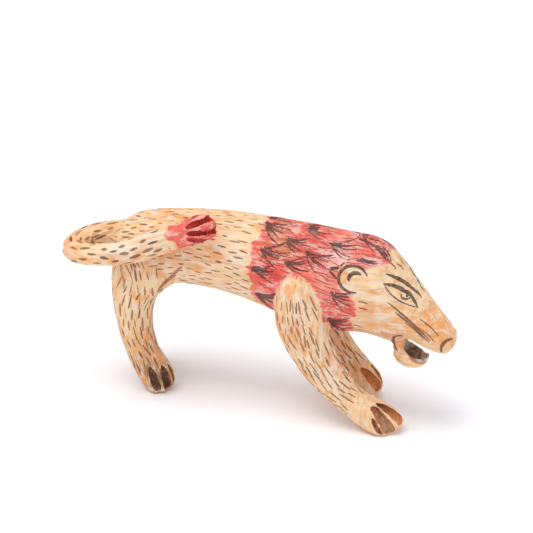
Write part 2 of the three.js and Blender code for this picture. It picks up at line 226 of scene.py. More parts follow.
def fused_mesh(shells, trees):
    """One closed mesh round every carved piece, with the joints grown together."""
    joined = bmesh.new()
    for name, shell in shells.items():
        if name != BODY:
            for vertex in shell.verts:
                place, normal, _, distance = trees[BODY].find_nearest(vertex.co)
                if distance < JOINT_REACH:
                    vertex.co = place - normal * JOINT_OVERLAP
        plain = bpy.data.meshes.new(name + "_shell")
        shell.to_mesh(plain)
        joined.from_mesh(plain)
    rough = bpy.data.meshes.new("rough")
    joined.to_mesh(rough)
    holder = bpy.data.objects.new("holder", rough)
    bpy.context.scene.collection.objects.link(holder)
    remesh = holder.modifiers.new("remesh", "REMESH")
    remesh.mode = "VOXEL"
    remesh.voxel_size = VOXEL
    depsgraph = bpy.context.evaluated_depsgraph_get()
    skin = bpy.data.meshes.new_from_object(holder.evaluated_get(depsgraph))
    bpy.data.objects.remove(holder)
    return skin


def mesh_arrays(mesh):
    points = np.zeros(len(mesh.vertices) * 3, np.float32)
    mesh.vertices.foreach_get("co", points)
    quads = np.zeros(len(mesh.polygons) * 4, np.int32)
    mesh.polygons.foreach_get("vertices", quads)
    return points.reshape(-1, 3).astype(float), quads.reshape(-1, 4)


def edges_of(quads):
    pairs = np.concatenate([quads[:, [0, 1]], quads[:, [1, 2]], quads[:, [2, 3]], quads[:, [3, 0]]])
    return np.unique(np.sort(pairs, axis=1), axis=0)


def outer_shell(points, quads):
    """Only the largest connected shell: the closed peg holes inside it go."""
    edges = edges_of(quads)
    label = np.arange(len(points))
    while True:
        lowest = label.copy()
        np.minimum.at(lowest, edges[:, 0], label[edges[:, 1]])
        np.minimum.at(lowest, edges[:, 1], label[edges[:, 0]])
        lowest = lowest[lowest]
        if np.array_equal(lowest, label):
            break
        label = lowest
    keep = label == np.bincount(label).argmax()
    number = np.cumsum(keep) - 1
    return points[keep], number[quads[keep[quads[:, 0]]]]


class Skin:
    """The skin's points and faces, with its neighbours kept for smoothing."""

    def __init__(self, points, quads):
        self.points, self.quads = points, quads
        self.edges = edges_of(quads)
        self.degree = np.bincount(self.edges.ravel(), minlength=len(points))

    def around(self, values):
        """Each point's mean over its neighbours."""
        a, b = self.edges.T
        total = np.stack([
            np.bincount(a, column[b], len(self.points)) + np.bincount(b, column[a], len(self.points))
            for column in np.atleast_2d(values.T)
        ], axis=-1)
        return total / self.degree[:, None]

    def smooth(self, share, rounds):
        for _ in range(rounds):
            self.points += share[:, None] * (self.around(self.points) - self.points)

    def normals(self):
        corners = self.points[self.quads]
        face = np.cross(corners[:, 2] - corners[:, 0], corners[:, 3] - corners[:, 1])
        total = np.stack([
            sum(np.bincount(self.quads[:, k], face[:, axis], len(self.points)) for k in range(4))
            for axis in range(3)
        ], axis=-1)
        return total / np.linalg.norm(total, axis=1, keepdims=True)


def distances_to(tree, points, reach):
    """Distance of each point to a shell, or reach where it is further."""
    found = (tree.find_nearest(Vector(p), reach)[3] for p in points)
    return np.array([reach if d is None else d for d in found])


def node_distances(points, trees, reach):
    table = {}
    for name in CARVED:
        low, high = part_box(name)
        near = np.all((points > np.array(low) - reach) & (points < np.array(high) + reach), axis=1)
        table[name] = np.full(len(points), reach)
        table[name][near] = distances_to(trees[name], points[near], reach)
    return table


def tail_course():
    """The tail's middle line as close-set points, with the distance along it."""
    line = np.array(TAIL_LINE, float) * MM
    knots = np.arange(len(line))
    fine = np.linspace(0, len(line) - 1, 240)
    course = np.stack([np.interp(fine, knots, line[:, axis]) for axis in range(3)], axis=1)
    for _ in range(200):
        course[1:-1] = (course[:-2] + course[1:-1] + course[2:]) / 3
    along = np.concatenate([[0], np.cumsum(np.linalg.norm(np.diff(course, axis=0), axis=1))])
    return course, along


def grain_places(points, owner):
    """Each point's place in its own piece of wood: the first number runs along the grain."""
    place = points.copy()
    legs = np.isin(owner, LEGS)
    place[legs] = points[legs][:, [2, 0, 1]]
    course, along = tail_course()
    tree = KDTree(len(course))
    for i, p in enumerate(course):
        tree.insert(p, i)
    tree.balance()
    tail = np.flatnonzero(owner == TAIL)
    nearest = np.array([tree.find(points[i])[1] for i in tail])
    ahead = np.gradient(course, axis=0)[nearest]
    ahead /= np.linalg.norm(ahead, axis=1, keepdims=True)
    off = points[tail] - course[nearest]
    place[tail, 0] = along[nearest] + np.sum(off * ahead, axis=1)
    level = np.cross(ahead, (0, 0, 1))
    level /= np.linalg.norm(level, axis=1, keepdims=True)
    place[tail, 1] = np.sum(off * level, axis=1)
    place[tail, 2] = off[:, 2]
    return place


def knife_cuts(skin, place, owner, width, length_share):
    """Height of the long shallow facets that a knife leaves, with ridges where they meet."""
    height = np.zeros(len(skin.points))
    for name in CARVED:
        mine = np.flatnonzero(owner == name)
        stretched = place[mine] * (1 / length_share, 1, 1) / width
        count = max(12, int(len(mine) * VOXEL ** 2 / (width ** 2 * length_share)))
        seeds = stretched[rng.choice(len(mine), count, replace=False)]
        tilt = rng.normal(0, 0.10, (count, 3))
        sunk = rng.uniform(0, 0.45, count)
        tree = KDTree(count)
        for i, p in enumerate(seeds):
            tree.insert(p, i)
        tree.balance()
        for i, p in zip(mine, stretched):
            (_, first, near), (_, _, far) = tree.find_n(p, 2)
            ridge = min((far - near) * width / KNIFE_RIDGE, 1)
            bowl = ridge * ridge * (3 - 2 * ridge) * (0.55 + sunk[first])
            height[i] = -bowl + tilt[first] @ (p - seeds[first])
    return np.clip(height, -1.3, 0)


def gouge_lines():
    """Every gouge cut: its piece, its two ends, its radius and the paint at each end."""
    for name, cuts in TOE_GOUGES.items():
        for upper, lower, radius, first, last in cuts:
            upper, lower = np.array(upper), np.array(lower)
            yield name, upper, upper + GOUGE_RUNOUT * (lower - upper), radius, first, last
    for number in range(TUFT_CUTS):
        angle = math.radians(TUFT_FIRST_ANGLE + number * TUFT_ANGLE_STEP)
        inner, outer = (
            np.array((TUFT_PALM[0] + reach * math.cos(angle), y, TUFT_PALM[1] + reach * math.sin(angle)))
            for reach, y in zip(TUFT_REACHES, TUFT_DEPTHS)
        )
        yield TAIL, inner, outer, TUFT_GOUGE_RADIUS, "crimson", "umber"


def gouge_cuts(points, owner):
    """How deep each point is in its nearest gouge cut, which cut that is, and how far along it."""
    inside = np.full(len(points), -9 * MM)
    which = np.zeros(len(points), int)
    share = np.zeros(len(points))
    origin = guide_origin()
    for number, (name, upper, lower, radius, _, _) in enumerate(gouge_lines()):
        mine = np.flatnonzero(owner == name)
        a, b = upper * MM + origin, lower * MM + origin
        along = np.clip((points[mine] - a) @ (b - a) / ((b - a) @ (b - a)), 0, 1)
        gap = np.linalg.norm(points[mine] - a - along[:, None] * (b - a), axis=1)
        swell = np.sqrt(1 - (2 * along - 1) ** 2)
        depth = radius * MM * swell + (TUFT_MARGIN if name == TAIL else 0) - gap
        better = depth > inside[mine]
        inside[mine[better]] = depth[better]
        which[mine[better]] = number
        share[mine[better]] = along[better]
    return inside, which, share


def carved_skin():
    shells = {name: clean_shell(name) for name in CARVED}
    trees = {name: BVHTree.FromBMesh(shell) for name, shell in shells.items()}
    skin = Skin(*outer_shell(*mesh_arrays(fused_mesh(shells, trees))))
    distance = node_distances(skin.points, trees, 12 * MM)
    table = np.stack([distance[name] for name in CARVED])
    owner = np.array(CARVED)[table.argmin(axis=0)]
    seam = np.ones(len(skin.points))
    for name in LEGS + [JAW]:
        seam = np.minimum(seam, np.maximum(distance[name], distance[BODY]) / FILLET_REACH)
    root = skin.points[:, 0] < -72 * MM
    root &= skin.points[:, 1] > -9 * MM
    tail_seam = np.maximum(distance[TAIL], distance[BODY]) / FILLET_REACH
    seam = np.where(root, np.minimum(seam, tail_seam), seam)
    seam = np.clip(seam, 0, 1)
    seam[owner == JAW] = np.maximum(seam[owner == JAW], 0.75)
    cut, _, _ = gouge_cuts(skin.points, owner)
    soft = 0.5 * np.clip(-cut / (2.5 * MM), 0.12, 1)
    skin.smooth(soft, SOFTEN_ROUNDS)
    skin.smooth(0.5 * (1 - seam) ** 0.7, FILLET_ROUNDS)
    return skin, owner


def tail_along(points):
    """How far along the tail each point lies, from the root."""
    course, along = tail_course()
    tree = KDTree(len(course))
    for i, p in enumerate(course):
        tree.insert(p, i)
    tree.balance()
    return along[[tree.find(p)[1] for p in points]]


# ---- the brush ----
def side_view(points):
    """Places seen square on from either side and a little above, in millimetres."""
    return np.stack([points[:, 0], points[:, 2] - np.abs(points[:, 1]) * VIEW_TILT], axis=1) / MM


def depth_inside(places, outline):
    """How deep each place lies inside a closed outline, and less than nothing outside it."""
    corners = np.array(outline, float)
    nearest = np.full(len(places), 1e9)
    inside = np.zeros(len(places), bool)
    for a, b in zip(corners, np.roll(corners, -1, axis=0)):
        along = np.clip((places - a) @ (b - a) / ((b - a) @ (b - a)), 0, 1)
        gap = places - a - along[:, None] * (b - a)
        nearest = np.minimum(nearest, np.hypot(gap[:, 0], gap[:, 1]))
        crosses = (a[1] > places[:, 1]) != (b[1] > places[:, 1])
        with np.errstate(divide="ignore", invalid="ignore"):
            meets = a[0] + (places[:, 1] - a[1]) * (b[0] - a[0]) / (b[1] - a[1])
        inside ^= crosses & (places[:, 0] < meets)
    return np.where(inside, nearest, -nearest)


def smooth_line(rows, step):
    """A stroke's rows joined by a Catmull-Rom curve and set about a step apart."""
    rows = np.array(rows, float)
    ends = np.vstack([2 * rows[0] - rows[1], rows, 2 * rows[-1] - rows[-2]])
    line = []
    for p0, p1, p2, p3 in zip(ends, ends[1:], ends[2:], ends[3:]):
        count = max(1, int(round(np.hypot(*(p2 - p1)[:2]) / step)))
        for t in np.arange(count) / count:
            line.append(0.5 * (2 * p1 + (p2 - p0) * t + (2 * p0 - 5 * p1 + 4 * p2 - p3) * t ** 2
                               + (3 * p1 - p0 - 3 * p2 + p3) * t ** 3))
    return np.array(line + [rows[-1]])


class Brush:
    """Short straight dabs of paint on the skin: ends, normal, half widths and tone."""

    def __init__(self, skin, owner):
        self.tree = BVHTree.FromPolygons(skin.points.tolist(), skin.quads.tolist())
        self.face_owner = owner[skin.quads[:, 0]]
        self.dabs = []

    def touch(self, x, z, flank):
        """Where the skin is met from one flank, -1 for the right one and 1 for the left."""
        toward = Vector((0, -flank, -VIEW_TILT)).normalized()
        place, normal, _, _ = self.tree.ray_cast(Vector((x, 0, z)) * MM - toward * 90 * MM, toward)
        if place is not None and place.y * flank < -2 * MM:
            return None, None
        return place, normal

    def line(self, rows, flank, tone, step=1.1):
        touched = [(self.touch(x, z, flank), width) for x, z, width in smooth_line(rows, step)]
        for ((a, normal), start), ((b, _), end) in zip(touched, touched[1:]):
            if a is not None and b is not None and (b - a).length < 5 * MM:
                self.dabs.append((a, b, normal, start, end, tone))

    def fur(self, name, course, radius, pitch, row, length, width, tone, allowed=None):
        """Rows of short hairs along a course through one carved piece."""
        course = [Vector(p) for p in course]
        count = 0
        travelled = 0.0
        for a, b in zip(course, course[1:]):
            travelled += (b - a).length
            if travelled < count * pitch:
                continue
            count += 1
            ahead = (b - a).normalized()
            level = ahead.cross(Vector((0, 0, 1) if abs(ahead.z) < 0.8 else (0, 1, 0))).normalized()
            rise = level.cross(ahead)
            around = max(4, int(2 * math.pi * radius / row))
            for k in range(around):
                angle = 2 * math.pi * (k + 0.5 * (count % 2) + rng.uniform(-0.18, 0.18)) / around
                start = a + ahead * rng.uniform(-0.22, 0.22) * pitch
                out = level * math.cos(angle) + rise * math.sin(angle)
                place, normal, face, _ = self.tree.ray_cast(start, out)
                if place is None or self.face_owner[face] != name or rng.random() < 0.06:
                    continue
                if allowed is not None and not allowed(place):
                    continue
                along = (ahead - normal * ahead.dot(normal)).normalized()
                along = (along + normal.cross(along) * rng.normal(0, 0.09)).normalized()
                half = along * length * rng.uniform(0.6, 1.3) / 2
                swell = width * rng.uniform(0.6, 1.4)
                shade = tone + rng.choice([0, 0, 0, 0.15, -0.18, -0.4])
                self.dabs.append((place - half, place, normal, 0.45 * swell, swell, shade))
                self.dabs.append((place, place + half, normal, swell, 0.5 * swell, shade))

    def layers(self, skin):
        """For each corner of each face its place beside the nearest dab, and that dab's widths and tone."""
        a, b, normal = (np.array([tuple(d[k]) for d in self.dabs]) for k in range(3))
        shape = np.array([d[3:] for d in self.dabs], float)
        ahead = b - a
        length = np.maximum(np.linalg.norm(ahead, axis=1), 1e-6)
        ahead /= length[:, None]
        across = np.cross(normal, ahead)
        tree = KDTree(int(np.sum(np.ceil(length / (0.5 * MM)) + 1)))
        for i in range(len(a)):
            steps = int(math.ceil(length[i] / (0.5 * MM)))
            for k in range(steps + 1):
                tree.insert(a[i] + ahead[i] * length[i] * k / steps, i)
        tree.balance()
        centres = skin.points[skin.quads].mean(axis=1)
        found = [tree.find(c)[1:] for c in centres]
        dab = np.array([f[0] for f in found])
        near = np.array([f[1] for f in found]) < 4 * MM
        off = skin.points[skin.quads] - a[dab][:, None]
        stroke = np.stack([
            np.einsum("fkc,fc->fk", off, ahead[dab]),
            np.einsum("fkc,fc->fk", off, across[dab]),
            np.repeat(length[dab][:, None], 4, axis=1),
        ], axis=2) / MM
        stroke[~near] = (0, 50, 0)
        return stroke, np.repeat(shape[dab][:, None], 4, axis=1)


def middle_course(skin, owner, name, axis, low, high, count):
    """The middle line of a carved piece, level by level along one axis."""
    mine = skin.points[owner == name]
    course = []
    for level in np.linspace(low, high, count):
        near = mine[np.abs(mine[:, axis] - level) < 2.5 * MM]
        centre = (near.min(axis=0) + near.max(axis=0)) / 2
        centre[axis] = level
        course.append(centre)
    course = np.array(course)
    for _ in range(20):
        course[1:-1] = (course[:-2] + course[1:-1] + course[2:]) / 3
    return course


def mane_depth(places):
    """How deep each place lies in the red mane, in millimetres, and less than nothing outside it."""
    past_ear = np.hypot(*(places - EAR_CENTRE).T) - EAR_RADIUS
    past_shoulder = (np.hypot(*((places - SHOULDER_CENTRE) / SHOULDER_SIZE).T) - 1) * SHOULDER_SIZE[0]
    ragged = sum(size * np.sin(places[:, 1] * turns + turns) for size, turns in MANE_WAVES)
    return np.minimum.reduce([depth_inside(places, MANE_EDGE) + ragged, past_ear, past_shoulder])


def bow(start, end, bulge, thin, thick):
    """A bowed stroke between two places: thin at its ends, thick in the middle, bulging to its left."""
    start, ahead = np.array(start, float), np.subtract(end, start).astype(float)
    left = np.array((-ahead[1], ahead[0])) / np.hypot(*ahead)
    t = np.linspace(0, 1, 7)
    swell = 4 * t * (1 - t)
    places = start + t[:, None] * ahead + bulge * swell[:, None] * left
    return np.column_stack([places, thin + (thick - thin) * swell])


def arc(centre, radius, first, last, thin, thick):
    """A stroke round part of a circle, between two angles in degrees."""
    t = np.linspace(0, 1, 11)
    angle = np.radians(first + (last - first) * t)
    places = np.array(centre) + radius * np.stack([np.cos(angle), np.sin(angle)], axis=1)
    return np.column_stack([places, thin + (thick - thin) * np.sin(np.pi * t) ** 0.5])


def flick(root, angle, length, bend, thick, thin=0.2):
    """A hair flicked off its root: thick where the brush landed and thin where it left."""
    t = np.linspace(0, 1, 6)
    turned = np.radians(angle + bend * t)
    steps = np.stack([np.cos(turned), np.sin(turned)], axis=1) * length / 5
    places = np.array(root, float) + np.vstack([[0, 0], np.cumsum(steps[:-1], axis=0)])
    return np.column_stack([places, thick + (thin - thick) * t ** 0.85])


def inside_mane(rows):
    """A stroke as far as it stays in the red mane."""
    out = np.flatnonzero(mane_depth(rows[:, :2]) < 0.2)
    return rows[:out[0]] if len(out) else rows


def paint_ear(draw):
    draw(arc(EAR_CENTRE, EAR_RADIUS, 25, 285, 0.3, 0.8), INK)
    draw(arc(np.add(EAR_CENTRE, (1.5, 0)), EAR_RADIUS / 2, 55, 200, 0.3, 1.0), INK)


def paint_eye(draw):
    """An almond with a heavy upper lid, an iris hanging from it and a brow above."""
    draw(bow(EYE_BACK, EYE_FRONT, 3.4, 0.3, 1.2), INK)
    draw(bow(EYE_BACK, EYE_FRONT, -2.6, 0.2, 0.3), INK)
    draw(arc(IRIS_CENTRE, IRIS_RADIUS, 170, 340, 0.2, 0.45), INK)
    draw(bow(np.add(IRIS_CENTRE, (-0.8, 2.6)), np.add(IRIS_CENTRE, (0.6, -0.4)), 0.4, 0.6, 1.1), INK)
    lift = np.array((0.5, BROW_LIFT))
    draw(bow(EYE_BACK + lift, EYE_FRONT + lift, 2.0, 0.3, 1.1), INK)


def paint_muzzle(draw):
    for root, length, thick in WHISKERS:
        tip = flick(root, WHISKER_SLOPE, length, 0, thick)[-1, :2]
        draw(bow(root, tip, 0.6, 0.2, thick), BROWN)
    draw(bow(NOSE_TOP, NOSE_LOW, -1.6, 0.4, 0.9), BROWN)
    draw(arc(JAW_HINGE_CENTRE, JAW_HINGE_RADIUS, 80, 235, 0.3, 0.7), BROWN)
    for step in range(2):
        draw(bow((74 + 3 * step, 91), (77 + 3 * step, 88), 0.4, 0.2, 0.4), BROWN)
        draw(bow((61, 67 - 3.5 * step), (65.5, 66.5 - 3.5 * step), 0.2, 0.2, 0.4), BROWN)
        draw(bow((57.5, 53 - 2.5 * step), (62, 52.5 - 2 * step), 0.2, 0.2, 0.3), BROWN)


def mane_strokes():
    """Locks of a few hairs flicked forward off one heavy root, in staggered columns, and the forelock."""
    strokes = []
    for column in range(LOCK_COLUMNS):
        for row in range(LOCK_ROWS):
            across, down = column * LOCK_PITCH[0], (row + 0.5 * (column % 2)) * LOCK_PITCH[1]
            root = np.array(LOCK_FIRST) + (across, -down) + rng.normal(0, 1.2, 2)
            if mane_depth(root[None])[0] < LOCK_MARGIN:
                continue
            heavy = rng.uniform(1.3, 2.1)
            first = rng.normal(4, 6)
            for hair in range(rng.integers(4, 6)):
                angle = first - LOCK_SPREAD * hair + rng.normal(0, 4)
                length = rng.uniform(9, 15)
                rows = flick(root, angle, length, rng.uniform(15, 50), heavy * HAIR_THINNING ** hair)
                strokes.append((inside_mane(rows), INK))
    for hair in range(FORELOCK_HAIRS):
        root = np.array(FORELOCK_ROOT) + (1.5 * hair, -0.4 * hair + rng.normal(0, 0.4))
        thick = 0.95 if hair % 3 == 0 else 0.55
        strokes.append((flick(root, -12 - 3 * hair, 15 - 0.7 * hair, -45, thick), INK))
    return strokes


def hair_strokes():
    """Thin hairs all over the mane between its locks, red and brown in turn."""
    strokes = []
    low, high = np.min(MANE_EDGE, axis=0), np.max(MANE_EDGE, axis=0)
    for x in np.arange(low[0], high[0], 5.8):
        for z in np.arange(low[1], high[1], 2.8):
            root = np.array((x, z)) + rng.normal(0, 0.9, 2)
            rows = flick(root, rng.normal(-14, 10), rng.uniform(4.5, 10), rng.uniform(-10, 25), 0.22, 0.1)
            if mane_depth(rows[:, :2]).min() > 0.5:
                strokes.append((rows, rng.choice([CRIMSON_TONE, CRIMSON_TONE, CRIMSON_TONE, BROWN])))
    return strokes


def bare_of_mane(place):
    return mane_depth(side_view(np.array([tuple(place)])))[0] < -1


def behind_mane(place):
    return bare_of_mane(place) and place[0] < 20 * MM


def paint_strokes(skin, owner):
    brush = Brush(skin, owner)
    mane = mane_strokes() + hair_strokes()
    for flank in (-1, 1):
        def draw(rows, tone):
            brush.line(rows, flank, tone)
        for rows, tone in mane:
            if len(rows) >= SHORTEST_HAIR_ROWS:
                draw(rows, tone)
        paint_ear(draw)
        paint_eye(draw)
        paint_muzzle(draw)
        shift = (0, 0) if flank < 0 else LEFT_GROIN_SHIFT
        draw(bow(np.add(GROIN_TOP, shift), np.add(GROIN_LOW, shift), -1.0, 0.4, 1.1), RUST_TONE)
    course = middle_course(skin, owner, BODY, 0, -82 * MM, 12 * MM, 180)
    brush.fur(BODY, course, *BODY_HAIRS, behind_mane)
    for name in LEGS:
        top = 78 * MM if "hind" in name else 70 * MM
        course = middle_course(skin, owner, name, 2, top, 17 * MM, 120)
        brush.fur(name, course, *LEG_HAIRS, bare_of_mane)
    course, along = tail_course()
    course = course[along < TUFT_START - 3 * MM]
    brush.fur(TAIL, course, *TAIL_HAIRS)
    return brush.layers(skin)


# ---- the pieces ----
def parted_faces(skin, owner):
    """Which piece each face belongs to, with the seams between pieces straightened by majority."""
    faces = np.searchsorted(CARVED_SORTED, owner[skin.quads[:, 0]])
    corner = np.repeat(np.arange(len(skin.quads)), 4)
    for _ in range(SEAM_ROUNDS):
        votes = np.zeros((len(skin.points), len(CARVED)))
        np.add.at(votes, (skin.quads.ravel(), faces[corner]), 1)
        faces = votes[skin.quads].sum(axis=1).argmax(axis=1)
    return np.array(CARVED_SORTED)[faces]


def add_piece(name, skin, faces, values, corner_values):
    """One carved piece as its own closed object, with its share of the skin's painted values."""
    quads = skin.quads[faces]
    used, numbered = np.unique(quads, return_inverse=True)
    numbered = numbered.reshape(-1, 4)
    points, normals = skin.points[used], values["normal"][used]
    pairs = np.stack([numbered, np.roll(numbered, -1, axis=1)], axis=2).reshape(-1, 2)
    code = np.sort(pairs, axis=1) @ (len(used), 1)
    _, first, times = np.unique(code, return_index=True, return_counts=True)
    rim = pairs[first[times == 1]]
    rim_points = np.unique(rim)
    inner = np.full(len(used), -1)
    inner[rim_points] = len(used) + np.arange(len(rim_points))
    walls = np.stack([rim[:, 1], rim[:, 0], inner[rim[:, 0]], inner[rim[:, 1]]], axis=1)
    loop = np.arange(len(used))
    while True:
        lowest = loop.copy()
        np.minimum.at(lowest, rim[:, 0], loop[rim[:, 1]])
        np.minimum.at(lowest, rim[:, 1], loop[rim[:, 0]])
        if np.array_equal(lowest, loop):
            break
        loop = lowest
    hubs = np.unique(loop[rim_points])
    depth = WALL_DEPTH * (1.25 if name == BODY else 1)
    inner_points = points[rim_points] - normals[rim_points] * depth
    hub_points = np.array([inner_points[loop[rim_points] == hub].mean(axis=0) for hub in hubs]).reshape(-1, 3)
    hub_number = len(used) + len(rim_points) + np.searchsorted(hubs, loop[rim[:, 0]])
    caps = np.stack([inner[rim[:, 1]], inner[rim[:, 0]], hub_number], axis=1)
    mesh = bpy.data.meshes.new(name)
    mesh.from_pydata(
        np.vstack([points, inner_points, hub_points]).tolist(), [],
        numbered.tolist() + walls.tolist() + caps.tolist(),
    )
    piece = bpy.data.objects.new("carved_" + name, mesh)
    bpy.context.scene.collection.objects.link(piece)
    extra = np.concatenate([rim_points, hubs]).astype(int)
    for key, value in values.items():
        if key == "normal":
            continue
        kind = "FLOAT_VECTOR" if value.ndim == 2 else "FLOAT"
        layer = mesh.attributes.new(key, kind, "POINT")
        whole = np.concatenate([value[used], value[used][extra]])
        layer.data.foreach_set("vector" if value.ndim == 2 else "value", whole.astype(np.float32).ravel())
    for key, value in corner_values.items():
        layer = mesh.attributes.new(key, "FLOAT_VECTOR", "CORNER")
        whole = np.zeros((len(mesh.loops), 3), np.float32)
        whole[:, 1] = 50
        whole[:numbered.size] = value[faces].reshape(-1, 3)
        layer.data.foreach_set("vector", whole.ravel())
    smooth = np.zeros(len(mesh.polygons), bool)
    smooth[:len(numbered)] = True
    mesh.polygons.foreach_set("use_smooth", smooth)
    corner_normals = np.zeros((len(mesh.loops), 3), np.float32)
    corner_normals[:numbered.size] = normals[numbered.ravel()]
    mesh.normals_split_custom_set(corner_normals.tolist())
    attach(piece, "root")
    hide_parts(name)
    return piece


# ---- materials ----
class Graph:
    """Short calls for a material's nodes."""

    def __init__(self, name):
        self.material = bpy.data.materials.new(name)
        self.material.use_nodes = True
        self.nodes = self.material.node_tree.nodes
        self.links = self.material.node_tree.links
        self.shader = self.nodes["Principled BSDF"]

    def put(self, socket, value):
        if isinstance(value, bpy.types.NodeSocket):
            self.links.new(value, socket)
        elif isinstance(value, tuple) and socket.type == "RGBA":
            socket.default_value = (*value[:3], 1)
        else:
            socket.default_value = value

    def math(self, kind, *values, clamp=False):
        node = self.nodes.new("ShaderNodeMath")
        node.operation = kind
        node.use_clamp = clamp
        for socket, value in zip(node.inputs, values):
            self.put(socket, value)
        return node.outputs[0]

    def attribute(self, name):
        node = self.nodes.new("ShaderNodeAttribute")
        node.attribute_name = name
        return node

    def split(self, vector):
        node = self.nodes.new("ShaderNodeSeparateXYZ")
        self.put(node.inputs[0], vector)
        return node.outputs

    def scaled(self, vector, factors):
        node = self.nodes.new("ShaderNodeVectorMath")
        node.operation = "MULTIPLY"
        self.put(node.inputs[0], vector)
        node.inputs[1].default_value = factors
        return node.outputs[0]

    def noise(self, vector, scale, detail=2.0, roughness=0.5, distortion=0.0):
        node = self.nodes.new("ShaderNodeTexNoise")
        self.put(node.inputs["Vector"], vector)
        node.inputs["Scale"].default_value = scale
        node.inputs["Detail"].default_value = detail
        node.inputs["Roughness"].default_value = roughness
        node.inputs["Distortion"].default_value = distortion
        return node.outputs["Fac"]

    def ramp(self, value, low, high):
        """From 0 at low to 1 at high, smoothly."""
        node = self.nodes.new("ShaderNodeMapRange")
        node.interpolation_type = "SMOOTHSTEP"
        self.put(node.inputs["Value"], value)
        node.inputs["From Min"].default_value = low
        node.inputs["From Max"].default_value = high
        return node.outputs["Result"]

    def mix(self, share, first, second, kind="MIX"):
        node = self.nodes.new("ShaderNodeMix")
        node.data_type = "RGBA"
        node.blend_type = kind
        node.clamp_factor = True
        self.put(node.inputs["Factor"], share)
        self.put(node.inputs[6], first)
        self.put(node.inputs[7], second)
        return node.outputs[2]


